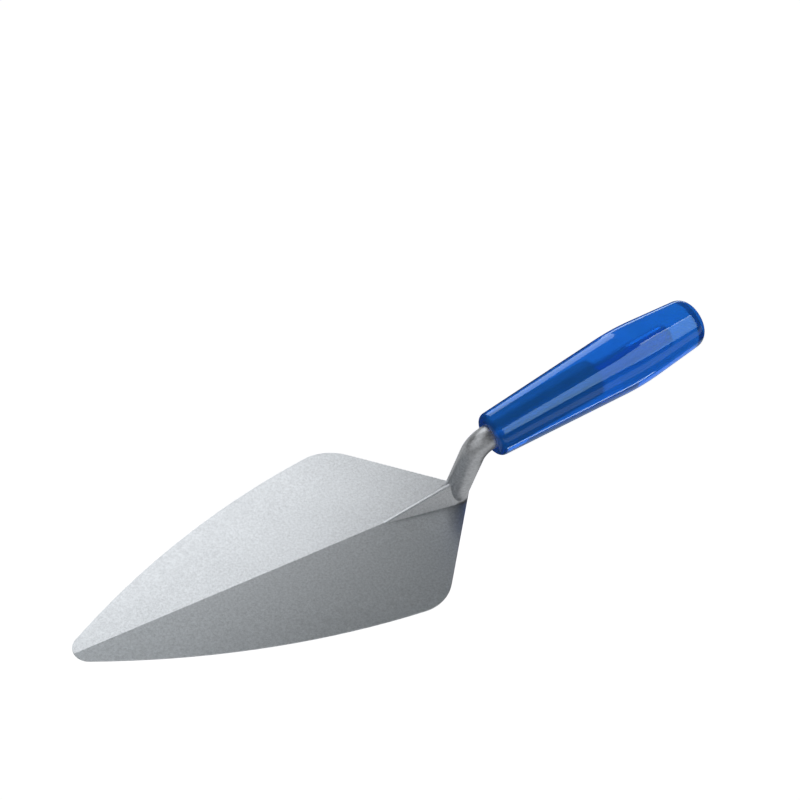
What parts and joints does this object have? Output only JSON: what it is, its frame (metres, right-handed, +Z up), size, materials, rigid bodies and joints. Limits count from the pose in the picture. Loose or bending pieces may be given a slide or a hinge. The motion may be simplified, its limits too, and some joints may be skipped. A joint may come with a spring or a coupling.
{
  "type": "brick trowel",
  "caption": "Brick trowel: flat pointed steel blade with a centre ridge, bent round steel shank and a clear blue plastic handle.",
  "frame": {"origin": "on the sole of the blade, on the centre line, half way between the nose and the heel point", "axes": "+X from the nose of the blade to the heel and on along the handle, +Y the left-hand side of the blade seen from above, +Z up, away from the sole"},
  "size_m": [0.4029, 0.1236, 0.0891],
  "materials": {
    "blade_steel": "ground and lightly blasted, satin",
    "shank_steel": "forged and blasted, satin",
    "clear_blue_plastic": "polished, see-through"
  },
  "bodies": {
    "root": {"blade": "blade_steel", "shank_and_tang": "shank_steel", "handle": "clear_blue_plastic"}
  },
  "joints": []
}
